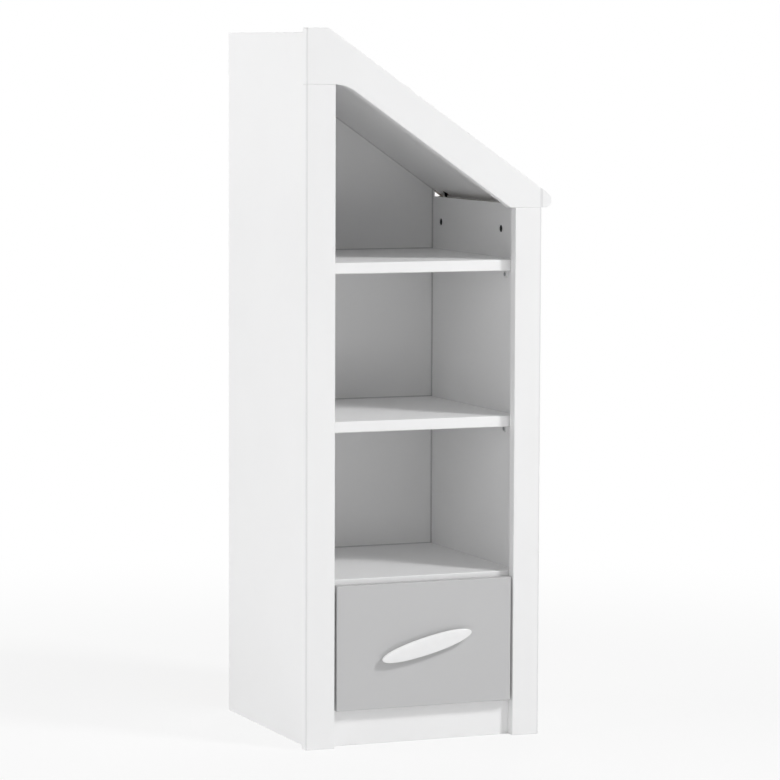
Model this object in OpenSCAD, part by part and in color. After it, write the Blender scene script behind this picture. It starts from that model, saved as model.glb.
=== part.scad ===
// House-shaped bookcase for a child's room: a tall left side, a low right side and a lean-to
// roof between them, three open compartments, and one drawer on roller runners.
//
// Every piece is drawn in the case frame: X runs from the left stile's outer edge to the right,
// Y from the stiles' front face to the back, and Z up from the floor. place() then moves it so
// that the origin lies on the floor, under the middle of the whole object.

/* [Overall] */
// Height of the level top of the roof fascia
height = 1400; // [1340:5:1480]
// Width over the outer edges of the two stiles
case_w = 497; // [460:1:600]
// Depth from the front of the stiles to the back edges of the sides
depth = 475; // [440:1:560]
// Height of the fascia's lower end over the right stile
eaves_h = 1050; // [1010:5:1090]

/* [Boards] */
// Thickness of the sides, shelves, roof, bottom and plinth
board_t = 22; // [18:0.5:24]
// Thickness of the stiles and the roof fascia
front_t = 22; // [20:0.5:26]
// Thickness of the back panel and the drawer bottom
thin_t = 3; // [2.5:0.5:4]
// Depth of the grooves that hold the thin panels
groove_d = 6; // [5:0.5:8]
// How far a thin panel reaches into its groove
groove_bite = 4; // [3:0.5:4.5]
// Extra width of a groove over the panel in it, which shows as a fine gap before the back panel
groove_slack = 1; // [0.5:0.1:1.5]
// From the back panel's front face to the back edges of the sides
back_inset = 14; // [10:1:20]

/* [Stiles and fascia] */
// Width of the left stile
left_stile_w = 60.5; // [54:0.5:75]
// Width of the right stile
right_stile_w = 56; // [54:0.5:75]
// How far each stile stands out past its side panel
stile_overhang = 14; // [8:0.5:18]
// Height of the fascia's square left end
gable_drop = 108.5; // [100:0.5:125]
// Length of the fascia's level top at the left
gable_flat = 46.5; // [30:0.5:60]
// Width of the fascia's sloping part, square to the slope
fascia_w = 69; // [60:0.5:80]
// How far the fascia's lower tip reaches past the right stile
tip_reach = 22; // [18:0.5:30]
// Radius of the fascia's lower tip
tip_r = 15; // [8:0.5:17]
// Radius of the bend in the fascia's lower edge
bend_r = 80; // [40:1:95]
// Radius of the fascia's top left corner
corner_r = 4; // [2:0.5:6]
// How far the roof's upper face lies under the fascia's top edge
roof_set = 13; // [8:0.5:18]

/* [Shelves] */
// Height of the underside of the shelf that covers the drawer
cover_z = 306; // [300:1:315]
// Clear height of the two middle compartments
compartment_h = 287.4; // [260:0.2:290]
// Height of the plinth under the bottom panel
plinth_h = 80; // [76:1:84]
// How far the shelves' front edges lie behind the stiles
shelf_set = 5; // [2:0.5:8]
// Free play between a shelf's end and the side
shelf_play = 0.3; // [0.2:0.1:0.8]
// Leg length of the brackets under the shelves
bracket_leg = 18; // [17:0.5:22]
// Width of those brackets
bracket_w = 14; // [12:0.5:20]
// Plate thickness of those brackets
bracket_t = 2; // [1.5:0.5:3]
// From a shelf's underside down to the bracket's side screw
bracket_screw_drop = 11; // [9:0.5:12]
// From a loose shelf's front and back edges to the middle of a bracket
bracket_inset = 63; // [40:1:90]

/* [Drawer] */
// Height of the drawer front's lower edge above the floor
drawer_front_z = 72; // [66:0.5:74]
// Height of the drawer front
drawer_front_h = 246.5; // [240:0.5:249]
// Thickness of the drawer front
drawer_front_t = 19; // [18:0.5:19.5]
// Gap between the drawer front and each stile
drawer_gap = 4.8; // [3:0.1:6]
// Thickness of the drawer's sides and back
drawer_side_t = 12; // [11:0.5:15]
// Height of the drawer's sides
drawer_side_h = 150; // [120:1:165]
// Height of the underside of the drawer's sides
drawer_side_z = 120; // [117:0.5:124]
// Free room between the closed drawer and the back panel
drawer_back_gap = 42; // [35:1:70]
// From the lower edge of the drawer's sides up to the groove of its bottom
drawer_groove_z = 10; // [8:0.5:14]
// From the drawer's back edge up to the top edges of its sides
drawer_back_drop = 8; // [4:0.5:20]

/* [Handle] */
// Length of the handle
handle_l = 196; // [160:1:220]
// Width of the handle at its middle
handle_w = 36; // [28:0.5:38]
// Thickness of the handle's plate
handle_t = 6.5; // [5:0.5:8]
// Radius of the handle's ends
handle_end_r = 8; // [6:0.5:9]
// From the drawer front to the handle's front face
handle_proud = 16; // [14:0.5:24]
// Tilt of the handle, right end up
handle_tilt = 14; // [0:0.5:20]
// From the middle of the drawer front's height down to the handle's middle
handle_drop = 2; // [0:0.5:10]
// Distance between the handle's two posts
post_spacing = 96; // [64:1:110]
// Diameter of the handle's posts
post_d = 12; // [10:0.5:14]

/* [Runners] */
// Space for the runner between a drawer side and its batten
runner_space = 12.5; // [12.5:0.1:13.5]
// Height of the underside of the cabinet rails
rail_z = 118; // [117:0.5:119]
// Free room between the cabinet rails and the back panel
rail_back_gap = 37; // [30:1:65]
// From the stiles' back faces to the front ends of the cabinet rails
rail_set = 2; // [1:0.5:4]
// Thickness of the runners' sheet steel
steel_t = 1.2; // [1:0.1:1.4]
// Diameter of the rollers
roller_d = 24; // [22:0.5:25]
// Width of the rollers
roller_w = 6.5; // [5:0.1:6.5]
// Gap between a roller and the flange that it rolls on
roll_gap = 0.3; // [0.2:0.1:0.5]
// Diameter of the rollers' pins
pin_d = 6; // [5:0.1:7]
// Free room beside a roller, up to the rail that it runs in
roller_side_gap = 1.5; // [1.2:0.1:1.8]
// Free room between a drawer rail's flange and the batten beside it
flange_side_gap = 2.5; // [2.2:0.1:2.9]
// From the ends of a drawer side to the ends of its rail
drawer_rail_in = 1; // [0.5:0.5:3]
// From the drawer's back edge to the rim of the rear rollers
rear_roller_in = 12; // [8:1:20]
// Height of the battens that carry the runners
batten_h = 62; // [60:1:70]
// From a batten's lower edge up to its cabinet rail
batten_drop = 8; // [6:0.5:12]

/* [Fasteners] */
// Diameter of the dowel holes
dowel_d = 8; // [7:0.5:9]
// Length of the dowels
dowel_l = 30; // [26:1:32]
// Diameter of the cam housings
cam_d = 15; // [14:0.5:16]
// Depth of the cam housings
cam_depth = 13; // [12.5:0.5:14]
// From a panel's end to the middle of its cam
cam_reach = 34; // [30:1:40]
// Diameter of the cam bolts
cam_bolt_d = 7; // [6:0.5:8]
// Diameter of the wood screws
screw_d = 4; // [3.5:0.1:4.5]
// Diameter of the roof bolts
roof_bolt_d = 6; // [5:0.5:7]
// Diameter of the barrel nut holes in the right side
barrel_d = 15; // [12:0.5:16]
// From the right side's top edge down to the barrel nuts
barrel_drop = 51.5; // [40:0.5:70]
// From the front of the stiles back to the first barrel nut
barrel_y_front = 116; // [90:1:150]
// From the back edge of the right side forward to the second barrel nut
barrel_y_back = 56; // [50:1:90]
// From the right side's inner face in to the nearer ends of the barrel nuts
barrel_set = 1; // [0.5:0.5:2]
// From the middle of the right side's thickness to the farther ends of the barrel nuts
barrel_past = 5; // [4.5:0.5:6]
// From the stiles' back faces and the back panel to the cams of the fixed boards
cam_edge = 60; // [50:1:80]
// From the front and back edges of the roof to the dowels in its upper end
roof_dowel_edge = 50; // [30:1:80]
// From the left side's inner face to the first dowel between fascia and roof
fascia_dowel_left = 74; // [60:1:100]
// From the right side's inner face to the last dowel between fascia and roof
fascia_dowel_right = 21; // [15:1:60]
// From the stiles' back faces and the back panel to the dowels in the fixed boards' ends
dowel_edge = 120; // [100:1:150]
// From the sides' inner faces to the plinth's upper dowels
plinth_dowel_in = 110; // [80:1:140]
// Height of the lowest dowels in the stiles
stile_dowel_z = 100; // [60:1:120]
// From the left stile's top edge down to its highest dowel
left_dowel_drop = 60; // [40:1:90]
// From the right stile's top edge down to its highest dowel
right_dowel_drop = 90; // [60:1:120]
// Length of the back panel's nails
nail_l = 20; // [16:1:25]
// From the sides' inner faces to the outermost nails
nail_in = 20; // [15:1:40]
// From the lower edge of a drawer side up to its lower dowel
drawer_dowel_low = 45; // [30:1:55]
// From the upper edge of a drawer side down to its upper dowel
drawer_dowel_drop = 30; // [15:1:40]
// Radial clearance between a fastener and its hole
fit_gap = 0.1; // [0.05:0.01:0.15]

/* [Hidden] */
$fn = 48;

white = "white";
shade = "whitesmoke";
front_grey = "silver";
zinc = "slategray";
bare_wood = "burlywood";

// Overlap of a cutting solid past the face that it cuts
cut = 1;
// Free length past the end of a fastener in its blind hole
end_gap = 1;
// Width and depth of the driver slots in cams and barrel nuts
slot_w = 1.6;
slot_deep = 2.5;
// How far a cam or a barrel nut stays under the face that it is let into
under_face = 0.3;

// Places across the case
left_inner = stile_overhang + board_t;
right_outer = case_w - stile_overhang;
right_inner = right_outer - board_t;
opening_x0 = left_stile_w;
opening_x1 = case_w - right_stile_w;
opening_cx = (opening_x0 + opening_x1) / 2;
left_mid = stile_overhang + board_t / 2;
right_mid = right_outer - board_t / 2;

// Places from front to back
back_y = depth - back_inset;

// The object's own box gives the origin
origin_x = (case_w + tip_reach) / 2;
origin_y = (depth - handle_proud) / 2;

// The fascia's sloping top edge runs from the end of the level top, tangent to the round tip
tip_cx = case_w + tip_reach - tip_r;
tip_cz = eaves_h + tip_r;
tip_run = tip_cx - gable_flat;
tip_fall = height - tip_cz;
roof_a = atan2(tip_fall, tip_run) - asin(tip_r / norm([tip_run, tip_fall]));
// Height, at x, of a line that lies drop under the fascia's top edge, square to the slope
function slope_z(x, drop) = height - (x - gable_flat) * tan(roof_a) - drop / cos(roof_a);
// The reverse: x of that line at height z
function slope_x(z, drop) = gable_flat + (height - drop / cos(roof_a) - z) / tan(roof_a);
gable_z = height - gable_drop;
roof_under = roof_set + board_t;
left_top = slope_z(left_inner, roof_set);
right_top = slope_z(right_outer, roof_under);

// Shelf heights, all undersides
lower_z = cover_z + board_t + compartment_h;
upper_z = lower_z + board_t + compartment_h;

// Drawer box
drawer_len = back_y - drawer_back_gap - drawer_front_t;
box_x0 = opening_x0 + runner_space;
box_x1 = opening_x1 - runner_space;
box_y0 = drawer_front_t;
box_y1 = drawer_front_t + drawer_len;
drawer_bottom_z = drawer_side_z + drawer_groove_z;
front_x0 = opening_x0 + drawer_gap;
front_w = opening_x1 - opening_x0 - 2 * drawer_gap;

// Runners, drawn on the left and mirrored to the right. Distances run from the batten's face.
batten_face = opening_x0;
rail_y0 = front_t + rail_set;
rail_len = back_y - rail_back_gap - rail_y0;
channel_w = 9.5;
roller_x = runner_space - steel_t - roller_side_gap - roller_w;
front_roller_y = rail_y0 + roller_d / 2 + rail_set;
rear_roller_y = box_y1 - roller_d / 2 - rear_roller_in;
rear_roller_z = rail_z + steel_t + roll_gap + roller_d / 2;
channel_h = roller_d + 2 * roll_gap + 2 * steel_t;
flange_gap = 0.6;
flange_z = rail_z + channel_h + flange_gap;
front_roller_z = flange_z - roll_gap - roller_d / 2;
drawer_web_x = runner_space - steel_t;
drawer_web_h = 42;
rail_screw_y = [rail_y0 + 60, rail_y0 + rail_len / 2, rail_y0 + rail_len - 30];
batten_len = rail_len + 2 * rail_set;
batten_z = rail_z - batten_drop;
batten_screw_z = batten_z + batten_h - 9;

// Fastener rows
fixed_boards = [plinth_h, cover_z];
cam_y = [front_t + cam_edge, back_y - cam_edge];
dowel_y = [front_t + dowel_edge, back_y - dowel_edge];
barrel_y = [barrel_y_front, depth - barrel_y_back];
barrel_z = right_top - barrel_drop;
bracket_y = [front_t + shelf_set + bracket_inset, back_y - bracket_inset];
panel_bite = 11;
nail_x = row(5, left_inner + nail_in, right_inner - nail_in);

module place() { translate([-origin_x, -origin_y, 0]) children(); }

// Mirrors a piece drawn at the opening's left to its right
module both(right) {
    if (right) translate([2 * opening_cx, 0, 0]) mirror([1, 0, 0]) children();
    else children();
}

function turn(axis) = axis == "x" ? [0, 90, 0] : axis == "y" ? [-90, 0, 0] : [0, 0, 0];

// A round bar along an axis, from a to b measured from point p
module bar(p, axis, d, a, b) {
    translate(p) rotate(turn(axis)) translate([0, 0, a]) cylinder(d = d, h = b - a);
}

// A plate drawn as an outline in X and Z, from y to y + t
module upright(y, t) {
    translate([0, y + t, 0]) rotate([90, 0, 0]) linear_extrude(height = t) children();
}

// ---- Fasteners. With hole = true each module gives the holes for the same fasteners.

module dowel(p, axis, hole) {
    d = hole ? dowel_d : dowel_d - 2 * fit_gap;
    half = dowel_l / 2 + (hole ? end_gap : 0);
    bar(p, axis, d, -half, half);
}

function row(n, a, b) = [for (i = [0:n - 1]) a + i * (b - a) / (n - 1)];

module stile_dowels(hole = false) {
    for (z = row(6, stile_dowel_z, gable_z - left_dowel_drop))
        dowel([left_mid, front_t, z], "y", hole);
    for (z = row(5, stile_dowel_z, eaves_h - right_dowel_drop))
        dowel([right_mid, front_t, z], "y", hole);
}

module fascia_dowels(hole = false) {
    dowel([left_mid, front_t, (gable_z + left_top) / 2], "y", hole);
    for (x = row(4, left_inner + fascia_dowel_left, right_inner - fascia_dowel_right))
        dowel([x, front_t, slope_z(x, roof_set + board_t / 2)], "y", hole);
}

module roof_end_dowels(hole = false) {
    z = slope_z(left_inner + dowel_l / 4, roof_set + board_t / 2);
    for (y = row(3, front_t + roof_dowel_edge, back_y - roof_dowel_edge))
        dowel([left_inner, y, z], "x", hole);
}

module board_end_dowels(hole = false) {
    for (x = [left_inner, right_inner], y = dowel_y, z = fixed_boards)
        dowel([x, y, z + board_t / 2], "x", hole);
}

module plinth_dowels(hole = false) {
    y = front_t + board_t / 2;
    for (x = [left_inner, right_inner], z = [plinth_h / 4, plinth_h * 0.7])
        dowel([x, y, z], "x", hole);
    for (x = [left_inner + plinth_dowel_in, right_inner - plinth_dowel_in])
        dowel([x, y, plinth_h], "z", hole);
}

module all_dowels(hole = false) {
    stile_dowels(hole);
    fascia_dowels(hole);
    roof_end_dowels(hole);
    board_end_dowels(hole);
    plinth_dowels(hole);
}

// A cam bolt runs from panel_bite deep in the side to the middle of its cam
module cam_bolt(x, side, y, z, hole) {
    g = hole ? 0 : 2 * fit_gap;
    e = hole ? end_gap : 0;
    reach = side > 0 ? [-panel_bite - e, cam_reach - 1] : [1 - cam_reach, panel_bite + e];
    bar([x, y, z], "x", cam_bolt_d - g, reach[0], reach[1]);
}

module case_cam_bolts(hole = false) {
    for (y = cam_y, z = fixed_boards) {
        cam_bolt(left_inner, 1, y, z + board_t / 2, hole);
        cam_bolt(right_inner, -1, y, z + board_t / 2, hole);
    }
}

module case_cams(hole = false) {
    d = hole ? cam_d : cam_d - 2 * fit_gap;
    for (x = [left_inner + cam_reach, right_inner - cam_reach], y = cam_y, z = fixed_boards)
        if (hole) bar([x, y, z], "z", d, -cut, cam_depth);
        else difference() {
            bar([x, y, z], "z", d, under_face, cam_depth - fit_gap);
            translate([x - cam_d / 4, y - slot_w / 2, z - cut])
                cube([cam_d / 2, slot_w, cut + slot_deep]);
        }
}

// Roof bolts stand upright through the roof into the barrel nuts in the right side
bolt_head_d = 17;
bolt_head_t = 2.5;
bolt_bore_d = bolt_head_d + 1;
bolt_head_z = slope_z(right_mid + bolt_bore_d / 2, roof_set) - bolt_head_t - 0.8;
bolt_end_z = barrel_z - 9;

module roof_bolt_holes() {
    for (y = barrel_y) {
        bar([right_mid, y, 0], "z", bolt_bore_d, bolt_head_z, height);
        bar([right_mid, y, 0], "z", 2 * roof_bolt_d, eaves_h - 40, bolt_head_z + cut);
    }
}

module barrel_holes() {
    for (y = barrel_y) {
        bar([right_mid, y, 0], "z", roof_bolt_d + 1, bolt_end_z - 2, right_top + cut);
        bar([right_inner, y, barrel_z], "x", barrel_d, -cut, board_t / 2 + barrel_past);
    }
}

// A wood screw from p along an axis: sign gives its way, its head sinks or stands at p
module screw(p, axis, sign, len, hole = false, d = screw_d, head_d = 0, head_t = 0) {
    r = hole ? d : d - 2 * fit_gap;
    tip = len + (hole ? end_gap : 0);
    if (sign > 0) {
        bar(p, axis, r, 0, tip);
        if (head_t > 0 && !hole) bar(p, axis, head_d, -head_t, 0);
    } else {
        bar(p, axis, r, -tip, 0);
        if (head_t > 0 && !hole) bar(p, axis, head_d, 0, head_t);
    }
}

// Batten screws are countersunk under the batten's face, which the bore of the head gives
sink_d = 8;
sink_t = 3;
module batten_screws_row(right, hole = false) {
    t = right ? right_inner - opening_x1 : opening_x0 - left_inner;
    both(right) for (y = row(3, rail_y0 + 30, rail_y0 + rail_len - 60)) {
        bar([batten_face, y, batten_screw_z], "x", hole ? screw_d : screw_d - 2 * fit_gap,
            -t - 12 - (hole ? end_gap : 0), -sink_t);
        bar([batten_face, y, batten_screw_z], "x", hole ? sink_d : sink_d - 2 * fit_gap,
            -sink_t, hole ? cut : -under_face);
    }
}

module rail_screws_row(right, hole = false) {
    both(right) for (y = rail_screw_y)
        screw([batten_face + steel_t, y, rear_roller_z], "x", -1, 15, hole, screw_d - 0.5,
            screw_d + 3, 1);
}

// ---- Case boards

module side_blank(x, top) {
    translate([x, front_t, 0]) cube([board_t, depth - front_t, top]);
}

module side_cuts(groove_x) {
    translate([groove_x, back_y - groove_slack, -cut])
        cube([groove_d, thin_t + groove_slack, height + 2 * cut]);
    all_dowels(true);
    case_cam_bolts(true);
    batten_screws_row(false, true);
    batten_screws_row(true, true);
    bracket_screws_set(true);
}

module left_side_panel() {
    color(white) place() difference() {
        side_blank(stile_overhang, left_top);
        side_cuts(left_inner - groove_d);
    }
}

module right_side_panel() {
    color(white) place() difference() {
        side_blank(right_inner, right_top);
        side_cuts(right_inner);
        barrel_holes();
    }
}

module back_panel() {
    x0 = left_inner - groove_bite;
    x1 = right_inner + groove_bite;
    top = roof_under - groove_bite;
    color(shade) place() difference() {
        upright(back_y, thin_t)
            polygon([[x0, plinth_h], [x1, plinth_h], [x1, slope_z(x1, top)],
                [x0, slope_z(x0, top)]]);
        back_nails_set(true);
    }
}

// The roof ends upright at the left side, and square to its slope at the eaves
module roof_outline(top, under) {
    x_end = slope_x(eaves_h, roof_under);
    t = under - top;
    lift = roof_under - under;
    foot = [x_end + lift * sin(roof_a), eaves_h + lift * cos(roof_a)];
    polygon([[left_inner, slope_z(left_inner, top)], [left_inner, slope_z(left_inner, under)],
        foot, foot + t * [sin(roof_a), cos(roof_a)]]);
}

module roof_panel() {
    color(white) place() difference() {
        upright(front_t, depth - front_t) roof_outline(roof_set, roof_under);
        upright(back_y - groove_slack, thin_t + groove_slack)
            polygon([for (p = [[-cut, 1], [-cut, -groove_d], [case_w, -groove_d], [case_w, 1]])
                [left_inner + p[0], slope_z(left_inner + p[0], roof_under + p[1])]]);
        fascia_dowels(true);
        roof_end_dowels(true);
        roof_bolt_holes();
    }
}

// The fascia: a square left end, a sloping arm with a round tip, and a round inner bend
bend_x = slope_x(gable_z, fascia_w);
bend_reach = bend_r * tan(roof_a / 2);
sharp_x = slope_x(eaves_h, 0);
module fascia_outline() {
    slope_out = [sin(roof_a), cos(roof_a)];
    difference() {
        union() {
            polygon([[0, gable_z], [0, height], [gable_flat, height], [sharp_x, eaves_h],
                [slope_x(eaves_h, fascia_w), eaves_h], [bend_x, gable_z]]);
            difference() {
                polygon([[bend_x - bend_reach, gable_z], [bend_x, gable_z + cut],
                    [bend_x + bend_reach * cos(roof_a), gable_z - bend_reach * sin(roof_a)]]);
                translate([bend_x - bend_reach, gable_z - bend_r])
                    circle(r = bend_r, $fn = 180);
            }
        }
        translate([0, height - corner_r]) difference() {
            translate([-cut, 0]) square([corner_r + cut, corner_r + cut]);
            translate([corner_r, 0]) circle(r = corner_r);
        }
        // What lies past the round of the tip
        translate([tip_cx, tip_cz]) difference() {
            polygon([[0, 0], 2 * tip_r * slope_out, [sharp_x - tip_cx + tip_r, 0],
                [sharp_x - tip_cx + tip_r, -2 * tip_r], [0, -2 * tip_r]]);
            circle(r = tip_r);
        }
    }
}

module roof_fascia() {
    color(white) place() difference() {
        upright(0, front_t) fascia_outline();
        fascia_dowels(true);
    }
}

module left_stile() {
    color(white) place() difference() {
        cube([left_stile_w, front_t, gable_z]);
        stile_dowels(true);
    }
}

module right_stile() {
    color(white) place() difference() {
        translate([opening_x1, 0, 0]) cube([right_stile_w, front_t, eaves_h]);
        stile_dowels(true);
    }
}

module shelf_board(z, play, set) {
    translate([left_inner + play, front_t + set, z])
        cube([right_inner - left_inner - 2 * play, back_y - front_t - set, board_t]);
}

module upper_shelf() {
    color(shade) place() difference() {
        shelf_board(upper_z, shelf_play, shelf_set);
        bracket_screws_set(true);
    }
}

module lower_shelf() {
    color(shade) place() difference() {
        shelf_board(lower_z, shelf_play, shelf_set);
        bracket_screws_set(true);
    }
}

module fixed_board(z, set) {
    difference() {
        shelf_board(z, 0, set);
        board_end_dowels(true);
        plinth_dowels(true);
        case_cam_bolts(true);
        case_cams(true);
        back_nails_set(true);
    }
}

module drawer_cover_shelf() { color(shade) place() fixed_board(cover_z, shelf_set); }

module bottom_panel() { color(shade) place() fixed_board(plinth_h, 0); }

module front_plinth() {
    color(white) place() difference() {
        translate([left_inner, front_t, 0]) cube([right_inner - left_inner, board_t, plinth_h]);
        plinth_dowels(true);
    }
}

// ---- Runner battens and the cabinet's half of the runners

module runner_batten(right) {
    x = right ? opening_x1 : left_inner;
    w = right ? right_inner - opening_x1 : opening_x0 - left_inner;
    color(bare_wood) place() difference() {
        translate([x, front_t, batten_z]) cube([w, batten_len, batten_h]);
        batten_screws_row(right, true);
        rail_screws_row(right, true);
    }
}

module left_runner_batten() { runner_batten(false); }

module right_runner_batten() { runner_batten(true); }

// A channel whose flanges stop short of the front roller
module cabinet_rail(right) {
    flange_y = front_roller_y + roller_d / 2 + 2;
    flange_len = rail_y0 + rail_len - flange_y;
    color(zinc) place() both(right) difference() {
        union() {
            translate([batten_face, rail_y0, rail_z]) cube([steel_t, rail_len, channel_h]);
            for (z = [rail_z, rail_z + channel_h - steel_t])
                translate([batten_face, flange_y, z]) cube([channel_w, flange_len, steel_t]);
        }
        for (y = rail_screw_y)
            bar([batten_face, y, rear_roller_z], "x", screw_d, -cut, steel_t + cut);
    }
}

module left_cabinet_rail() { cabinet_rail(false); }

module right_cabinet_rail() { cabinet_rail(true); }

module roller(right, y, z) {
    color("white") place() both(right) difference() {
        bar([batten_face + roller_x, y, z], "x", roller_d, 0, roller_w);
        bar([batten_face + roller_x, y, z], "x", pin_d + 2 * fit_gap, -cut, roller_w + cut);
    }
}

module front_roller_left() { roller(false, front_roller_y, front_roller_z); }

module front_roller_right() { roller(true, front_roller_y, front_roller_z); }

module rear_roller_left() { roller(false, rear_roller_y, rear_roller_z); }

module rear_roller_right() { roller(true, rear_roller_y, rear_roller_z); }

// Riveted pins: each stands on its rail's web and ends in a thin head
pin_head_t = 0.6;
pin_gap = 0.15;
module cabinet_roller_pins() {
    x1 = roller_x + roller_w + pin_gap;
    color(zinc) place() for (right = [false, true]) both(right) {
        bar([batten_face, front_roller_y, front_roller_z], "x", pin_d, steel_t, x1);
        bar([batten_face, front_roller_y, front_roller_z], "x", pin_d + 2, x1,
            x1 + pin_head_t);
    }
}

module drawer_roller_pins() {
    x0 = roller_x - pin_gap;
    color(zinc) place() for (right = [false, true]) both(right) {
        bar([batten_face, rear_roller_y, rear_roller_z], "x", pin_d, x0, drawer_web_x);
        bar([batten_face, rear_roller_y, rear_roller_z], "x", pin_d + 2, x0 - pin_head_t, x0);
    }
}

module cabinet_rail_screws() {
    color(zinc) place() {
        rail_screws_row(false);
        rail_screws_row(true);
    }
}

module batten_screws() {
    color(zinc) place() {
        batten_screws_row(false);
        batten_screws_row(true);
    }
}

// ---- Shelf brackets

module shelf_brackets() {
    color(white) place() for (right = [false, true], z = [lower_z, upper_z], y = bracket_y) {
        x = right ? right_inner - bracket_leg : left_inner;
        wall = right ? right_inner - bracket_t : left_inner;
        difference() {
            union() {
                translate([wall, y - bracket_w / 2, z - bracket_leg])
                    cube([bracket_t, bracket_w, bracket_leg]);
                translate([x, y - bracket_w / 2, z - bracket_t])
                    cube([bracket_leg, bracket_w, bracket_t]);
            }
            bracket_screws_set(true);
        }
    }
}

// One screw from each bracket into the side and one up into the shelf
module bracket_screws_set(hole = false) {
    for (z = [lower_z, upper_z], y = bracket_y) {
        for (s = [-1, 1]) {
            x = s > 0 ? right_inner - bracket_t : left_inner + bracket_t;
            up_x = s > 0 ? right_inner - bracket_leg + 6 : left_inner + bracket_leg - 6;
            screw([x, y, z - bracket_screw_drop], "x", s, 14, hole, screw_d, 2 * screw_d, 1.6);
            screw([up_x, y, z - bracket_t], "z", 1, 14, hole, screw_d, 1.8 * screw_d, 1.6);
        }
    }
}

module bracket_screws() { color(zinc) place() bracket_screws_set(); }

// ---- Other case fasteners

module dowels() { color(bare_wood) place() all_dowels(); }

module cam_locks() {
    color(zinc) place() difference() {
        case_cams();
        case_cam_bolts(true);
    }
}

module cam_bolts() { color(zinc) place() case_cam_bolts(); }

module roof_bolts() {
    color(zinc) place() for (y = barrel_y) {
        bar([right_mid, y, 0], "z", roof_bolt_d, bolt_end_z, bolt_head_z + cut);
        bar([right_mid, y, 0], "z", bolt_head_d, bolt_head_z, bolt_head_z + bolt_head_t);
    }
}

module barrel_nuts() {
    color(zinc) place() for (y = barrel_y) difference() {
        near = barrel_set - board_t / 2;
        bar([right_mid, y, barrel_z], "x", barrel_d - 2 * fit_gap, near, barrel_past);
        bar([right_mid, y, barrel_z], "z", roof_bolt_d + 2 * fit_gap, -barrel_d, barrel_d);
        translate([right_mid + near - cut, y - slot_w / 2, barrel_z - barrel_d / 3])
            cube([slot_w + cut, slot_w, barrel_d / 1.5]);
    }
}

nail_d = 2;
module back_nails_set(hole = false) {
    for (x = nail_x, z = fixed_boards)
        screw([x, back_y + thin_t, z + board_t / 2], "y", -1, nail_l, hole, nail_d,
            2.2 * nail_d, 0.8);
}

module back_nails() { color(zinc) place() back_nails_set(); }

// ---- Drawer

drawer_top_z = drawer_side_z + drawer_side_h;
drawer_joint_z = [drawer_side_z + drawer_dowel_low, drawer_top_z - drawer_dowel_drop];
drawer_cam_z = (drawer_joint_z[0] + drawer_joint_z[1]) / 2;
drawer_cam_d = 12;
drawer_cam_reach = 24;
drawer_dowel_d = 6;
drawer_dowel_half = 12;

module drawer_dowels_set(hole = false) {
    d = hole ? drawer_dowel_d : drawer_dowel_d - 2 * fit_gap;
    h = drawer_dowel_half + (hole ? end_gap : 0);
    for (x = [box_x0 + drawer_side_t / 2, box_x1 - drawer_side_t / 2], z = drawer_joint_z)
        bar([x, box_y0, z], "y", d, -h, h);
}

module drawer_cam_bolts_set(hole = false) {
    d = hole ? drawer_dowel_d : drawer_dowel_d - 2 * fit_gap;
    for (x = [box_x0 + drawer_side_t / 2, box_x1 - drawer_side_t / 2])
        bar([x, box_y0, drawer_cam_z], "y", d, -panel_bite - (hole ? end_gap : 0),
            drawer_cam_reach - 1);
}

// The cams sit in the inner faces of the drawer's sides
module drawer_cams_set(hole = false) {
    d = hole ? drawer_cam_d : drawer_cam_d - 2 * fit_gap;
    depth_in = drawer_side_t - 2.5;
    for (right = [false, true]) both(right) {
        p = [box_x0 + drawer_side_t, box_y0 + drawer_cam_reach, drawer_cam_z];
        if (hole) bar(p, "x", d, -depth_in, cut);
        else difference() {
            bar(p, "x", d, fit_gap - depth_in, -under_face);
            translate(p + [-slot_deep, -slot_w / 2, -drawer_cam_d / 4])
                cube([slot_deep + cut, slot_w, drawer_cam_d / 2]);
        }
    }
}

module drawer_back_screws_set(hole = false) {
    for (right = [false, true]) both(right)
        for (z = drawer_joint_z)
            screw([box_x0, box_y1 - drawer_side_t / 2, z], "x", 1, 40, hole, screw_d,
                1.8 * screw_d, 1);
    y = box_y1 - drawer_side_t / 2;
    for (x = row(3, box_x0 + 60, box_x1 - 60))
        screw([x, y, drawer_bottom_z], "z", 1, 18, hole, screw_d - 1, 2 * screw_d, 1.2);
}

module drawer_rail_screws_set(hole = false) {
    for (right = [false, true]) both(right) for (y = row(3, box_y0 + 40, box_y1 - 60))
        screw([batten_face + drawer_web_x, y, flange_z + steel_t + 7], "x", 1,
            steel_t + drawer_side_t - 3, hole, screw_d - 0.5, screw_d + 2, 1);
}

// The two posts' places along the tilted handle, seen from the front
handle_cx = opening_cx;
handle_cz = drawer_front_z + drawer_front_h / 2 - handle_drop;
post_at = [for (s = [-1, 1])
    [handle_cx + s * post_spacing / 2 * cos(handle_tilt), handle_cz
        + s * post_spacing / 2 * sin(handle_tilt)]];

module handle_screws_set(hole = false) {
    for (p = post_at)
        screw([p[0], drawer_front_t, p[1]], "y", -1, drawer_front_t + 7, hole, screw_d,
            2 * screw_d, 2);
}

module drawer_groove() {
    translate([box_x0 + drawer_side_t - groove_d + 1, box_y0 - groove_d + 1, drawer_bottom_z])
        cube([box_x1 - box_x0 - 2 * (drawer_side_t - groove_d + 1), drawer_len + groove_d,
            thin_t + groove_slack / 2]);
}

module drawer_front() {
    color(front_grey) place() difference() {
        translate([front_x0, 0, drawer_front_z])
            cube([front_w, drawer_front_t, drawer_front_h]);
        drawer_groove();
        drawer_dowels_set(true);
        drawer_cam_bolts_set(true);
        handle_screws_set(true);
    }
}

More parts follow.
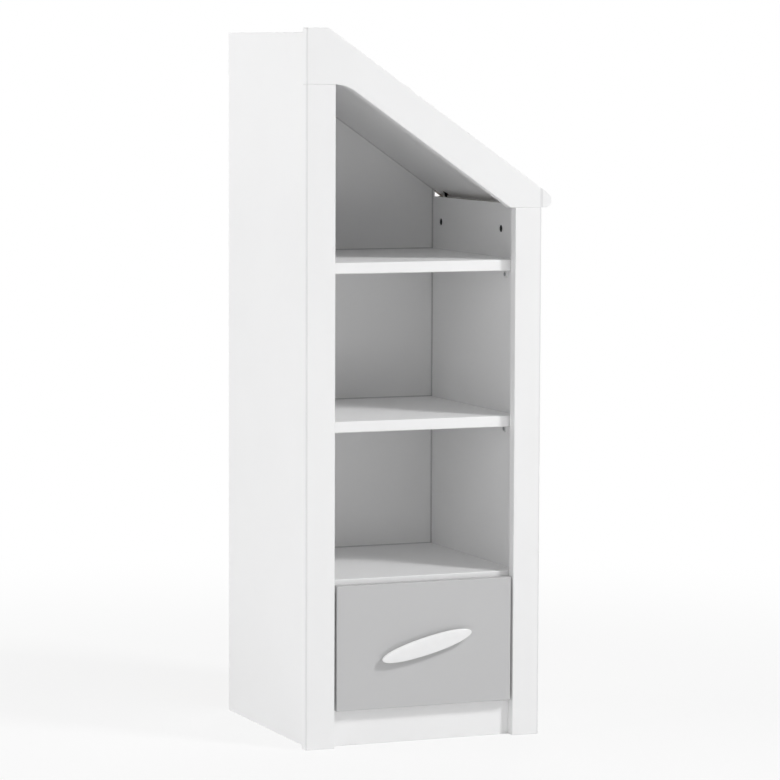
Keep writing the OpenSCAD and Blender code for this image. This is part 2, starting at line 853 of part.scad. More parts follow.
module drawer_side(right) {
    x = right ? box_x1 - drawer_side_t : box_x0;
    color(shade) place() difference() {
        translate([x, box_y0, drawer_side_z]) cube([drawer_side_t, drawer_len, drawer_side_h]);
        drawer_groove();
        drawer_dowels_set(true);
        drawer_cam_bolts_set(true);
        drawer_cams_set(true);
        drawer_back_screws_set(true);
        drawer_rail_screws_set(true);
    }
}

module drawer_left_side() { drawer_side(false); }

module drawer_right_side() { drawer_side(true); }

// The back stands on the drawer's bottom and ends lower than the sides
module drawer_back() {
    z = drawer_bottom_z + thin_t;
    color(shade) place() difference() {
        translate([box_x0 + drawer_side_t, box_y1 - drawer_side_t, z])
            cube([box_x1 - box_x0 - 2 * drawer_side_t, drawer_side_t,
                drawer_top_z - drawer_back_drop - z]);
        drawer_back_screws_set(true);
    }
}

module drawer_bottom() {
    bite = groove_bite - 1;
    color(shade) place() difference() {
        translate([box_x0 + drawer_side_t - bite, box_y0 - bite, drawer_bottom_z])
            cube([box_x1 - box_x0 - 2 * (drawer_side_t - bite), drawer_len + bite, thin_t]);
        drawer_back_screws_set(true);
    }
}

// An angle that cups the lower edge of the drawer's side, with a flange for the front roller
module drawer_rail(right) {
    y0 = box_y0 + drawer_rail_in;
    len = drawer_len - 2 * drawer_rail_in;
    reach = runner_space - steel_t - flange_side_gap;
    color(zinc) place() both(right) difference() {
        union() {
            translate([batten_face + drawer_web_x, y0, drawer_side_z - steel_t])
                cube([steel_t, len, drawer_web_h]);
            translate([batten_face + drawer_web_x, y0, drawer_side_z - steel_t])
                cube([drawer_side_t + steel_t, len, steel_t]);
            translate([batten_face + runner_space - reach, y0 + 4, flange_z])
                cube([reach, len - 4, steel_t]);
        }
        drawer_rail_screws_set(true);
    }
}

module left_drawer_rail() { drawer_rail(false); }

module right_drawer_rail() { drawer_rail(true); }

module drawer_rail_screws() { color(zinc) place() drawer_rail_screws_set(); }

module drawer_dowels() { color(bare_wood) place() drawer_dowels_set(); }

module drawer_cam_locks() {
    color(zinc) place() difference() {
        drawer_cams_set();
        drawer_cam_bolts_set(true);
    }
}

module drawer_cam_bolts() { color(zinc) place() drawer_cam_bolts_set(); }

module drawer_back_screws() { color(zinc) place() drawer_back_screws_set(); }

// ---- Handle: two long arcs that run into round ends, seen from the front
module handle_outline(inset) {
    half_w = handle_w / 2 - inset;
    end_r = handle_end_r - inset;
    end_x = handle_l / 2 - handle_end_r;
    sink = (end_x * end_x - pow(half_w - end_r, 2)) / (2 * (half_w - end_r));
    arc_r = sink + half_w;
    join_x = arc_r * end_x / norm([end_x, sink]);
    intersection() {
        translate([0, -sink]) circle(r = arc_r, $fn = 360);
        translate([0, sink]) circle(r = arc_r, $fn = 360);
        square([2 * join_x, handle_w], center = true);
    }
    for (s = [-1, 1]) translate([s * end_x, 0]) circle(r = end_r);
}

module handle() {
    rim = 1.2;
    color(white) place() difference() {
        union() {
            translate([handle_cx, 0, handle_cz]) rotate([0, -handle_tilt, 0]) {
                upright(rim - handle_proud, handle_t - rim) handle_outline(0);
                upright(-handle_proud, rim + 0.01) handle_outline(rim);
            }
            for (p = post_at)
                bar([p[0], 0, p[1]], "y", post_d, handle_t / 2 - handle_proud, 0);
        }
        handle_screws_set(true);
    }
}

module handle_screws() { color(zinc) place() handle_screws_set(); }

left_side_panel();
right_side_panel();
back_panel();
roof_panel();
roof_fascia();
left_stile();
right_stile();
upper_shelf();
lower_shelf();
drawer_cover_shelf();
bottom_panel();
front_plinth();
left_runner_batten();
right_runner_batten();
left_cabinet_rail();
right_cabinet_rail();
cabinet_roller_pins();
shelf_brackets();
bracket_screws();
dowels();
cam_locks();
cam_bolts();
roof_bolts();
barrel_nuts();
batten_screws();
cabinet_rail_screws();
back_nails();
front_roller_left();
front_roller_right();
rear_roller_left();
rear_roller_right();
drawer_front();
drawer_left_side();
drawer_right_side();
drawer_back();
drawer_bottom();
left_drawer_rail();
right_drawer_rail();
drawer_roller_pins();
drawer_rail_screws();
drawer_dowels();
drawer_cam_locks();
drawer_cam_bolts();
drawer_back_screws();
handle();
handle_screws();
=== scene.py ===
import math

import bmesh
import bpy
from mathutils import Matrix, Vector


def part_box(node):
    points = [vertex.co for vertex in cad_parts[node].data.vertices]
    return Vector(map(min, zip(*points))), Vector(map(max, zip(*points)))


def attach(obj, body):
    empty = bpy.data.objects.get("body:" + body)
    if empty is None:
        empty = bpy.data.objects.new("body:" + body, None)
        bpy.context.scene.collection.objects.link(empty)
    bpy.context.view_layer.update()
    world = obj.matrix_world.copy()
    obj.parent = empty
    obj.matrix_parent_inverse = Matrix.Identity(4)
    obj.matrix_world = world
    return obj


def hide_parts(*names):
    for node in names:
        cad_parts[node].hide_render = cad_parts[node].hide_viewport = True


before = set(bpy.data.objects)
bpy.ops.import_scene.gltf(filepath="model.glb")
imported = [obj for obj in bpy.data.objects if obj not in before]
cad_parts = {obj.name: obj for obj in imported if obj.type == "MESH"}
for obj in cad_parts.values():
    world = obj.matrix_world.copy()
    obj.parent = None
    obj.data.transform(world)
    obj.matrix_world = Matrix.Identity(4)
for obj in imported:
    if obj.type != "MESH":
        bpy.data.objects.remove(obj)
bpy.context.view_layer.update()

# ---- Side panels -------------------------------------------------------------------------
# The tall left side and the low right side are 22 mm boards, lacquered white all over. Their
# sharp edges are broken with a sander before the paint goes on. The right side's inner face
# shows the two bores of the barrel nuts.


class Signal:
    """An output socket of a finish's nodes, which sums, scales and compares as a number."""

    def __init__(self, socket):
        self.socket = socket

    def node(self, kind, settings=None, inputs=None, output=0):
        """Adds a node: its settings are set first, then values or links go to its inputs."""
        tree = self.socket.id_data
        made = tree.nodes.new("ShaderNode" + kind)
        for name, value in (settings or {}).items():
            setattr(made, name, value)
        for name, value in (inputs or {}).items():
            if isinstance(value, Signal):
                tree.links.new(value.socket, made.inputs[name])
            else:
                made.inputs[name].default_value = value
        return Signal(made.outputs[output])

    def math(self, operation, other, swapped=False):
        """Maths on this signal and another value, or on that value and this signal."""
        pair = (other, self) if swapped else (self, other)
        return self.node("Math", {"operation": operation}, dict(enumerate(pair)))

    def __add__(self, other):
        return self.math("ADD", other)

    def __radd__(self, other):
        return self.math("ADD", other, swapped=True)

    def __sub__(self, other):
        return self.math("SUBTRACT", other)

    def __rsub__(self, other):
        return self.math("SUBTRACT", other, swapped=True)

    def __mul__(self, other):
        return self.math("MULTIPLY", other)

    def __rmul__(self, other):
        return self.math("MULTIPLY", other, swapped=True)

    def __lt__(self, other):
        return self.math("LESS_THAN", other)

    def __gt__(self, other):
        return self.math("GREATER_THAN", other)

    def vector_math(self, operation, other=(0, 0, 0)):
        """Vector maths: a length, a distance or a product comes out as a number."""
        output = 1 if operation in ("LENGTH", "DISTANCE", "DOT_PRODUCT") else 0
        return self.node("VectorMath", {"operation": operation}, {0: self, 1: other}, output)

    def noise(self, scale, detail, rough=0.5):
        """Noise over these coordinates, with `scale` lumps to the metre."""
        return self.node("TexNoise", None, {"Vector": self, "Scale": scale,
                                            "Detail": detail, "Roughness": rough})

    def scaled(self, x, y, z):
        """These coordinates resized: a small share draws a pattern out along its axis."""
        return self.node("Mapping", {"vector_type": "POINT"},
                         {"Vector": self, "Scale": (x, y, z)})

    def mixed(self, low, high):
        """A colour between two others, by this signal."""
        low, high = [(*end, 1) if isinstance(end, tuple) else end for end in (low, high)]
        # The Mix node takes its colours at sockets 6 and 7, and gives the result at socket 2
        return self.node("Mix", {"data_type": "RGBA"}, {0: self, 6: low, 7: high}, 2)

    def bump(self, height):
        """The surface raised by this signal, `height` metres from its lows to its highs."""
        return self.node("Bump", None, {"Height": self, "Strength": 1.0, "Distance": height})


def new_finish(name):
    """A new material, its shader node and its Object coordinates."""
    material = bpy.data.materials.new(name)
    material.use_nodes = True
    tree = material.node_tree
    shader = tree.nodes["Principled BSDF"]
    place = Signal(tree.nodes.new("ShaderNodeTexCoord").outputs["Object"])
    return material, shader, place


def feed(shader, **sockets):
    """Sets the shader's sockets: a Signal is linked and a number or colour is set."""
    for name, value in sockets.items():
        socket = shader.inputs[name.replace("_", " ")]
        if isinstance(value, Signal):
            shader.id_data.links.new(value.socket, socket)
        else:
            socket.default_value = value


def shades(tone, darker, paler):
    """A tone made a little darker, and a little paler."""
    return [tuple(share * t for t in tone) for share in (darker, paler)]


def lacquer(name, tone, rough):
    """Sprayed paint: an even tone with faint clouds, and the fine dimples of orange peel."""
    material, shader, place = new_finish(name)
    clouds = place.noise(5, 3)
    dimples = place.noise(420, 1.5) * 0.7 + place.noise(1500, 1) * 0.3
    feed(shader, Base_Color=clouds.mixed(*shades(tone, 0.985, 1.015)),
         Roughness=rough + (clouds - 0.5) * 0.08, Normal=dimples.bump(0.00002))
    feed(shader, Coat_Weight=0.1, Coat_Roughness=0.15, Specular_IOR_Level=0.4)
    return material


white_paint = lacquer("white_paint", (0.94, 0.94, 0.942), rough=0.42)

far = 2  # metres, past every end of the object


def within(place, x=(-far, far), y=(-far, far), z=(0, far)):
    """A signal of 1 inside a box and 0 outside it, with no limit where none is given."""
    middle = [(a + b) / 2 for a, b in (x, y, z)]
    half = [(b - a) / 2 for a, b in (x, y, z)]
    away = place.vector_math("SUBTRACT", middle).vector_math("ABSOLUTE")
    over = away.vector_math("SUBTRACT", half)
    parts = over.node("SeparateXYZ", None, {"Vector": over}).socket.node.outputs
    over_x, over_y, over_z = [Signal(part) for part in parts]
    return over_x.math("MAXIMUM", over_y).math("MAXIMUM", over_z) < 0.0


def mottle_in(material, where, dark, pale):
    """Mottles a finish with two other tones, by the share that `where` gives at each place."""
    shader = material.node_tree.nodes["Principled BSDF"]
    place = Signal(material.node_tree.nodes["Texture Coordinate"].outputs["Object"])
    tones = Signal(shader.inputs["Base Color"].links[0].from_socket)
    mottle = place.noise(700, 3, 0.7).mixed(dark, pale)
    feed(shader, Base_Color=where(place).mixed(tones, mottle))


def bare_board_and_shade(material, patch):
    """Bare particle board tones where `patch` says: real bare board where a saw or drill went in
    after the paint, and painted shade on the right side's top edge and on the roof's underside
    behind its groove.
    """
    mottle_in(material, patch, dark=(0.1, 0.065, 0.035), pale=(0.24, 0.17, 0.1))


# The back panel's grooves are 1 mm wider than it is, and end less than 3 mm past its sides
back_low, back_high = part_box("back_panel")
groove_slack, groove_past, skin = 0.001, 0.003, 0.0001
groove_x = (back_low.x - groove_past, back_high.x + groove_past)
groove_y = (back_low.y - groove_slack - skin, back_high.y + skin)


def side_grooves(place):
    """The back panel's grooves in the two sides."""
    return within(place, x=groove_x, y=groove_y)


def painted_shade_top_edge(place):
    """The right side's top edge, close under the roof, darkened as painted shade."""
    low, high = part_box("right_side_panel")
    shade_strength = 0.6
    return within(place, (low.x, high.x), (low.y + 2 * skin, high.y),
                  (high.z - 2 * skin, far)) * shade_strength


bare_board_and_shade(white_paint, side_grooves)
# Painted shade: the right side's top edge under the roof is darkened in bare board tones
bare_board_and_shade(white_paint, painted_shade_top_edge)


def only(piece):
    """Selects this piece alone and makes it the active one."""
    bpy.ops.object.select_all(action="DESELECT")
    piece.select_set(True)
    bpy.context.view_layer.objects.active = piece


def stands_for(piece, node, body, finish):
    """Gives a finished piece its name and material, and puts it in the CAD node's place."""
    piece.name = node + "_piece"
    piece.data.name = piece.name
    piece.data.materials.clear()
    piece.data.materials.append(finish)
    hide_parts(node)
    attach(piece, body)


merging = 0.000004  # metres: closer vertices are one


def board_copy(node, body, paint):
    """A piece that stands for a CAD board, with that board's triangles merged to whole faces."""
    piece = bpy.data.objects.new(node + "_piece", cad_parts[node].data.copy())
    bpy.context.scene.collection.objects.link(piece)
    only(piece)
    bpy.ops.object.mode_set(mode="EDIT")
    bpy.ops.mesh.select_all(action="SELECT")
    bpy.ops.mesh.remove_doubles(threshold=merging)
    bpy.ops.mesh.dissolve_limited(angle_limit=math.radians(0.6))
    bpy.ops.object.mode_set(mode="OBJECT")
    stands_for(piece, node, body, paint)
    return piece


touching = 0.00001  # metres: closer places are the same face or line


def box_edges(piece):
    """Picks the edges where two sides of the board's own box meet."""
    low, high = Vector(piece.bound_box[0]), Vector(piece.bound_box[6])

    def picks(edge):
        a, b = (v.co for v in edge.verts)
        on_faces = sum(any(abs(a[i] - end[i]) < touching and abs(b[i] - end[i]) < touching
                           for end in (low, high)) for i in range(3))
        return on_faces >= 2
    return picks


def round_edges(piece, radius, picks, segments=3):
    """Rounds the edges that `picks` chooses, and shades flat faces flat and rounds smooth."""
    least_fold = 0.3  # radians
    only(piece)
    bpy.ops.object.mode_set(mode="EDIT")
    bpy.ops.mesh.select_mode(type="EDGE")
    bpy.ops.mesh.select_all(action="DESELECT")
    mesh = bmesh.from_edit_mesh(piece.data)
    for edge in mesh.edges:
        sharp = len(edge.link_faces) == 2 and edge.calc_face_angle_signed() > least_fold
        edge.select_set(sharp and picks(edge))
    bmesh.update_edit_mesh(piece.data)
    bpy.ops.mesh.bevel(offset=radius, segments=segments, profile=0.5, affect="EDGES",
                       clamp_overlap=False)
    bpy.ops.object.mode_set(mode="OBJECT")
    bpy.ops.object.shade_smooth_by_angle(angle=math.radians(35))
    flats = piece.modifiers.new("flats", "WEIGHTED_NORMAL")
    flats.keep_sharp = True
    bpy.ops.object.modifier_apply(modifier=flats.name)


for node in ("left_side_panel", "right_side_panel"):
    side = board_copy(node, "case", white_paint)
    round_edges(side, 0.001, box_edges(side))

# ---- Stiles and roof fascia --------------------------------------------------------------
# The front frame: two upright stiles and the sloping roof fascia, 22 mm boards lacquered
# white with softly rounded front edges, dowelled to the edges of the sides and the roof. The
# joints between fascia and stiles show as fine V grooves.


def painted_shade_edge(x, y):
    """Painted shade: a thin grey line along an upright edge through x and y."""
    width, shade_strength = 0.003, 0.24
    return lambda place: within(place, (x - width, x + width), (y - width, y + width)) * shade_strength


for node in ("left_stile", "right_stile"):
    low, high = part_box(node)
    outer = low.x if node == "left_stile" else high.x
    # Painted shade in grey tones along each stile's outer front edge
    mottle_in(white_paint, painted_shade_edge(outer, low.y), dark=(0.4, 0.4, 0.41),
                  pale=(0.5, 0.5, 0.51))
    stile = board_copy(node, "case", white_paint)
    round_edges(stile, 0.0016, box_edges(stile))


def profile_edges(piece):
    """Picks the outline of an upright board at its front and back, and its upright corners."""
    front, back = piece.bound_box[0][1], piece.bound_box[6][1]

    def through(face):
        ys = [v.co.y for v in face.verts]
        return min(ys) < front + touching and max(ys) > back - touching

    def picks(edge):
        walls = [f for f in edge.link_faces if through(f)]
        across = abs(edge.verts[0].co.y - edge.verts[1].co.y) > touching
        return len(walls) == 2 if across else len(walls) == 1
    return picks


fascia = board_copy("roof_fascia", "case", white_paint)
round_edges(fascia, 0.0016, profile_edges(fascia))

# ---- Roof and back -----------------------------------------------------------------------
# The roof is a lacquered board, bolted down to the right side through two counterbored
# holes. Its bores and its groove are bare, and the underside's strip behind the groove is
# darkened as painted shade. The back is thin hardboard in grooves, painted on its front,
# with painted shade lines in its corners, and bare brown behind.

roof_paint = lacquer("roof_paint", (0.95, 0.95, 0.952), rough=0.42)
roof = board_copy("roof_panel", "case", roof_paint)
underside = min(roof.data.polygons, key=lambda face: face.normal.z * face.area)
down, level = underside.normal.copy(), underside.normal.dot(underside.center)
bolt_low, bolt_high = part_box("roof_bolts")
bolt_x, head_r = (bolt_low.x + bolt_high.x) / 2, (bolt_high.x - bolt_low.x) / 2
bore_r = 0.006 + skin


def bare_groove_and_painted_shade(place):
    """The groove in the roof's underside, which is bare, and the underside's strip behind it,
    darkened as painted shade.
    """
    groove_depth = 0.006
    downward = place.vector_math("DOT_PRODUCT", down)
    in_groove = downward > level - groove_depth - 2 * skin
    at_underside = downward > level - 2 * skin
    return (in_groove * within(place, y=groove_y)
            + at_underside * within(place, y=(groove_y[1], far)))


def bolt_bore(y):
    """The upright bore of a roof bolt, at its place from front to back."""
    def bore(place):
        flat = place.vector_math("MULTIPLY", (1, 1, 0))
        return flat.vector_math("DISTANCE", (bolt_x, y, 0)) < bore_r
    return bore


# The roof's bores and groove are bare; the underside's strip behind the groove is darkened as
# painted shade
for patch in (bare_groove_and_painted_shade, bolt_bore(bolt_low.y + head_r), bolt_bore(bolt_high.y - head_r)):
    bare_board_and_shade(roof_paint, patch)
round_edges(roof, 0.001, profile_edges(roof))


def painted_corner_shade(place):
    """Painted shade lines in the corners where the sides, the shelves and the roof meet the back.
    """
    across, upward, faint = 0.0028, 0.0022, 0.7
    left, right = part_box("left_side_panel")[1].x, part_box("right_side_panel")[0].x
    lines = within(place, x=(left, left + across)) + within(place, x=(right - across, right))
    for shelf in ("upper_shelf", "lower_shelf", "drawer_cover_shelf"):
        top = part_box(shelf)[1].z
        lines = lines + within(place, x=(left, right), z=(top, top + upward))
    at_roof = place.vector_math("DOT_PRODUCT", down) < level + upward
    return (lines + at_roof * faint).math("MINIMUM", 1.0)


def painted_hardboard(name, tone, bare):
    """Hardboard, painted on its front with painted shade lines in its corners, and bare brown
    fibres behind.
    """
    rear, shade_tone, shade_depth = back_high.y - 0.0004, (0.3, 0.3, 0.3), 0.45
    material, shader, place = new_finish(name)
    behind = place.node("SeparateXYZ", None, {"Vector": place}, 1) > rear
    fibres = place.scaled(1, 1, 0.4).noise(900, 4, 0.7)
    fibre_tones = fibres.mixed(*shades(bare, 0.8, 1.15))
    clouds = place.noise(6, 3)
    paint_tones = clouds.mixed(*shades(tone, 0.985, 1.01))
    # Painted shade: darker lines in the corners where the boards meet the back
    paint_tones = (painted_corner_shade(place) * shade_depth).mixed(paint_tones, shade_tone)
    feed(shader, Base_Color=behind.mixed(paint_tones, fibre_tones),
         Roughness=0.5 + behind * 0.25, Normal=fibres.bump(0.00003))
    return material


back_paint = painted_hardboard("back_paint", (0.85, 0.85, 0.852), bare=(0.36, 0.24, 0.14))
back = board_copy("back_panel", "case", back_paint)
round_edges(back, 0.0003, profile_edges(back), segments=1)

# ---- Bottom, plinth and fixed drawer cover -----------------------------------------------
# Melamine faced boards. Dowels and cams hold the bottom and the cover to the sides, and
# dowels hold the plinth. Their front edges are edged in the same white and rounded.


def melamine(name, tone, rough):
    """Pressed melamine: an even tone and the fine pearled texture of the press plate."""
    material, shader, place = new_finish(name)
    clouds = place.noise(7, 2)
    pearls = place.noise(1300, 2, 0.6)
    feed(shader, Base_Color=clouds.mixed(*shades(tone, 0.985, 1.015)),
         Roughness=rough + (pearls - 0.5) * 0.12, Normal=pearls.bump(0.00003))
    feed(shader, Specular_IOR_Level=0.35)
    return material


white_melamine = melamine("white_melamine", (0.95, 0.95, 0.952), rough=0.52)

for node in ("bottom_panel", "drawer_cover_shelf", "front_plinth"):
    board = board_copy(node, "case", white_melamine)
    round_edges(board, 0.0012, box_edges(board))

# ---- Loose shelves -----------------------------------------------------------------------
# Two loose melamine faced boards rest on steel angle brackets, with a little play at their
# ends. Their edges are well rounded.

for node in ("upper_shelf", "lower_shelf"):
    shelf = board_copy(node, "case", white_melamine)
    round_edges(shelf, 0.002, box_edges(shelf))

# ---- Roof bolts and barrel nuts -----------------------------------------------------------
# Two flanged bolts of blackened steel stand in counterbores in the roof. Their threads show in
# the wedge over the right side, and end in barrel nuts that lie in that side's round bores.


def plated_steel(name, tone, rough):
    """Plated steel: metal with fine drawing lines and a cloudy shine."""
    material, shader, place = new_finish(name)
    clouds = place.noise(90, 3)
    lines = place.scaled(1, 0.05, 1).noise(2500, 2)
    tones = clouds.mixed(*shades(tone, 0.88, 1.05))
    feed(shader, Base_Color=tones, Metallic=1.0, Normal=lines.bump(0.000004),
         Roughness=rough + (clouds - 0.5) * 0.2)
    return material


black_steel = plated_steel("black_steel", (0.03, 0.03, 0.032), rough=0.45)


def fasteners_of(node):
    """Where each fastener's head ends, which way its shank runs, its length and its width."""
    mesh = bmesh.new()
    mesh.from_mesh(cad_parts[node].data)
    bmesh.ops.remove_doubles(mesh, verts=mesh.verts, dist=merging)
    found = []
    for first in mesh.verts:
        if first.tag:
            continue
        first.tag = True
        shell = [first]
        for vert in shell:  # grows while it is walked
            for edge in vert.link_edges:
                other = edge.other_vert(vert)
                if not other.tag:
                    other.tag = True
                    shell.append(other)
        points = [v.co.copy() for v in shell]
        low = Vector([min(p[i] for p in points) for i in range(3)])
        high = Vector([max(p[i] for p in points) for i in range(3)])
        axis = max(range(3), key=lambda i: high[i] - low[i])
        middle = (low + high) / 2

        def width_at(end):
            rim = [p - middle for p in points if abs(p[axis] - end[axis]) < touching]
            for p in rim:
                p[axis] = 0
            return 2 * max(p.length for p in rim)

        head, tip = (low, high) if width_at(low) > width_at(high) else (high, low)
        place, way = middle.copy(), Vector((0, 0, 0))
        place[axis] = head[axis]
        way[axis] = math.copysign(1, tip[axis] - head[axis])
        found.append((place, way, high[axis] - low[axis], width_at(head)))
    mesh.free()
    return found


def turned(name, profile, sides=24):
    """A shape turned on a lathe about Z: a disc that is extruded and resized along a profile."""
    bpy.ops.object.select_all(action="DESELECT")
    radius, height = profile[0]
    bpy.ops.mesh.primitive_circle_add(vertices=sides, radius=radius, fill_type="NGON",
                                      location=(0, 0, height))
    piece = bpy.context.object
    piece.name = name
    bpy.ops.object.transform_apply(location=True)
    bpy.ops.object.mode_set(mode="EDIT")
    bpy.ops.mesh.select_all(action="SELECT")
    for next_radius, next_height in profile[1:]:
        bpy.ops.mesh.extrude_region_move(
            TRANSFORM_OT_translate={"value": (0, 0, next_height - height)})
        ratio = next_radius / radius
        bpy.ops.transform.resize(value=(ratio, ratio, 1), center_override=(0, 0, next_height))
        radius, height = next_radius, next_height
    bpy.ops.mesh.select_all(action="SELECT")
    bpy.ops.mesh.normals_make_consistent(inside=False)
    bpy.ops.object.mode_set(mode="OBJECT")
    bpy.ops.object.shade_smooth_by_angle(angle=math.radians(35))
    return piece


def shaped_by(piece, tool, operation="DIFFERENCE"):
    """Cuts a second shape out of a piece, or adds it, and takes that shape away."""
    step = piece.modifiers.new("step", "BOOLEAN")
    step.operation, step.object, step.solver = operation, tool, "EXACT"
    only(piece)
    bpy.ops.object.modifier_apply(modifier=step.name)
    bpy.data.objects.remove(tool)


def threaded(core, crest, low, high, pitch):
    """The profile of a thread as rings, from its lower end to its upper end."""
    turns = int((high - low) / pitch)
    rings = []
    for i in range(turns):
        rings += [(core, low + i * pitch), (crest, low + (i + 0.5) * pitch)]
    return rings


def seat_fasteners(node, body, finish, make):
    """Models one fastener of each size and puts a copy in the place of each CAD one."""
    patterns, copies = {}, []
    for place, way, length, width in fasteners_of(node):
        size = (round(length, 4), round(width, 4))  # to a tenth of a millimetre
        if size not in patterns:
            patterns[size] = make(length, width)
        fastener = bpy.data.objects.new(node, patterns[size].data.copy())
        bpy.context.scene.collection.objects.link(fastener)
        turn = Vector((0, 0, -1)).rotation_difference(way).to_matrix().to_4x4()
        fastener.data.transform(Matrix.Translation(place) @ turn)
        copies.append(fastener)
    for pattern in patterns.values():
        bpy.data.objects.remove(pattern)
    only(copies[0])
    for fastener in copies:
        fastener.select_set(True)
    bpy.ops.object.join()
    stands_for(bpy.context.object, node, body, finish)


def roof_bolt(length, width):
    """A bolt with a crowned flange and a hexagon socket, threaded almost up to its head."""
    flange, head, shank, neck = width / 2, 0.0025, 0.003, 0.008
    thread_depth, pitch, tip = 0.0005, 0.001, 0.0008
    socket_r, socket_depth = 0.0029, 0.0017
    bolt = turned("bolt", [
        (shank - tip, -length),
        *threaded(shank - thread_depth, shank, tip - length, -neck, pitch),
        (shank, -neck), (shank, -head), (flange, -head), (flange, -0.0016),
        (flange - 0.0004, -0.0009), (flange - 0.0022, -0.0002), (flange - 0.0035, 0)])
    bpy.ops.mesh.primitive_cylinder_add(vertices=6, radius=socket_r, depth=2 * socket_depth)
    shaped_by(bolt, bpy.context.object)
    return bolt


seat_fasteners("roof_bolts", "case", black_steel, roof_bolt)

nuts = board_copy("barrel_nuts", "case", black_steel)


def rims(edge):
    """Picks the rims of the nuts' ends, of their bores and of their driver slots."""
    short = 0.004
    return edge.calc_length() < short


round_edges(nuts, 0.0003, rims, segments=1)

# ---- Shelf brackets and screws ------------------------------------------------------------
# Steel angles, pressed from 2 mm sheet and coated white, hold the loose shelves. Each has one
# pan head screw with a cross recess in the side, and one up into the shelf.

coated_white = lacquer("coated_steel", (0.86, 0.86, 0.86), rough=0.38)
zinc = plated_steel("zinc_plate", (0.5, 0.51, 0.53), rough=0.36)

brackets = board_copy("shelf_brackets", "case", coated_white)
sheet = 0.002
inner_faces = [corner.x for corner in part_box("shelf_brackets")]
undersides = [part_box(shelf)[0].z for shelf in ("lower_shelf", "upper_shelf")]


def bracket_corners(edge):
    """Picks the edges through the sheet at the free corners of both legs."""
    return abs(edge.calc_length() - sheet) < touching


def bracket_bend(edge):
    """Picks the outer edge of a bend, which runs along a shelf's corner with a side."""
    a, b = (v.co for v in edge.verts)
    at_side = any(abs(a.x - face) < touching for face in inner_faces)
    at_shelf = any(abs(a.z - face) < touching for face in undersides)
    return at_side and at_shelf and abs(a.y - b.y) > touching


round_edges(brackets, 0.003, bracket_corners, segments=4)
round_edges(brackets, 0.002, bracket_bend, segments=4)


def wood_screw(length, width, head=0.0016, shank=0.0019, sunk=False):
    """A wood screw with a cross recess: its head ends at the origin and it points down."""
    rim, core, pitch, point = width / 2, 0.68 * shank, 0.0016, 0.003
    recess_depth = 0.0009
    if sunk:
        cone = 0.0014
        top = [(shank, -head - cone), (rim, -0.0006), (rim, -0.0002), (rim - 0.0002, 0)]
    else:
        top = [(shank, -head), (rim - 0.0001, -head), (rim, -head + 0.0002),
               (rim, -0.45 * head), (0.9 * rim, -0.22 * head), (0.72 * rim, -0.06 * head),
               (0.5 * rim, 0)]
    screw = turned("screw", [
        (0.0002, -length),
        *threaded(core, shank, point - length, -head - 0.0025, pitch),
        (shank, -head - 0.002), *top], sides=20)
    for turn in (0, math.pi / 2):
        bpy.ops.mesh.primitive_cube_add(size=1, rotation=(0, 0, turn))
        cross_tool = bpy.context.object
        cross_tool.scale = (1.15 * rim, 0.3 * rim, 2 * recess_depth)
        shaped_by(screw, cross_tool)
    return screw


seat_fasteners("bracket_screws", "case", zinc, wood_screw)

# ---- Back nails --------------------------------------------------------------------------
# Steel wire nails, 20 mm long and with flat heads, hold the back. They are driven through the
# hardboard into the back edges of the bottom and the drawer cover.


def wire_nail(length, width):
    """A nail of round wire with a thin flat head and a drawn point."""
    rim, wire, head, point = width / 2, 0.00095, 0.0008, 0.003
    return turned("nail", [(0.0001, -length), (wire, point - length), (wire, -head),
                           (rim - 0.0001, -head), (rim, -0.0006), (rim, -0.0002),
                           (rim - 0.0003, 0)], sides=16)


seat_fasteners("back_nails", "case", zinc, wire_nail)

# ---- Dowels and cams -----------------------------------------------------------------------
# Beech dowels, and zinc cams with steel bolts, join the boards of the case and the drawer.
# They lie inside the joints, or flush in undersides and inner faces. The CAD's shapes stay.


def bare_timber(name, pale, dark):
    """Bare wood: growth rings as bands along the grain, with fine pores."""
    material, shader, place = new_finish(name)
    along = place.scaled(1, 0.06, 1)
    bands = along.node("TexWave", {"wave_type": "BANDS", "bands_direction": "X"},
                       {"Vector": along, "Scale": 60, "Distortion": 6, "Detail": 3,
                        "Detail Scale": 2.0}, 1)
    pores = place.scaled(1, 0.03, 1).noise(2600, 2)
    feed(shader, Base_Color=(bands * 0.7 + pores * 0.3).mixed(pale, dark),
         Roughness=0.62 + (pores - 0.5) * 0.2, Normal=pores.bump(0.00006))
    return material


timber = bare_timber("bare_timber", pale=(0.62, 0.44, 0.27), dark=(0.44, 0.28, 0.15))
for node, finish in (("dowels", timber), ("drawer_dowels", timber), ("cam_locks", zinc),
                     ("cam_bolts", zinc), ("drawer_cam_locks", zinc),
                     ("drawer_cam_bolts", zinc)):
    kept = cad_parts[node]
    kept.data.materials.clear()
    kept.data.materials.append(finish)

# ---- Battens and runners -------------------------------------------------------------------
# Softwood battens fill the width behind the stiles. They carry roller runners: rails of folded
# 1.2 mm steel, coated white, screwed to the battens and to the drawer's sides.

for node in ("left_runner_batten", "right_runner_batten"):
    batten = board_copy(node, "case", timber)
    round_edges(batten, 0.0012, box_edges(batten), segments=2)

seat_fasteners("batten_screws", "case", zinc,
               lambda length, width: wood_screw(length, width, head=0.002, sunk=True))


def folds(edge):
    """Picks a rail's lengthwise edges, where its sheet is folded or cut."""
    a, b = (v.co for v in edge.verts)
    least_run = 0.05
    return abs(a.y - b.y) > least_run


for node, body in (("left_cabinet_rail", "case"), ("right_cabinet_rail", "case"),
                   ("left_drawer_rail", "drawer"), ("right_drawer_rail", "drawer")):
    rail = board_copy(node, body, coated_white)
    round_edges(rail, 0.0005, folds, segments=2)

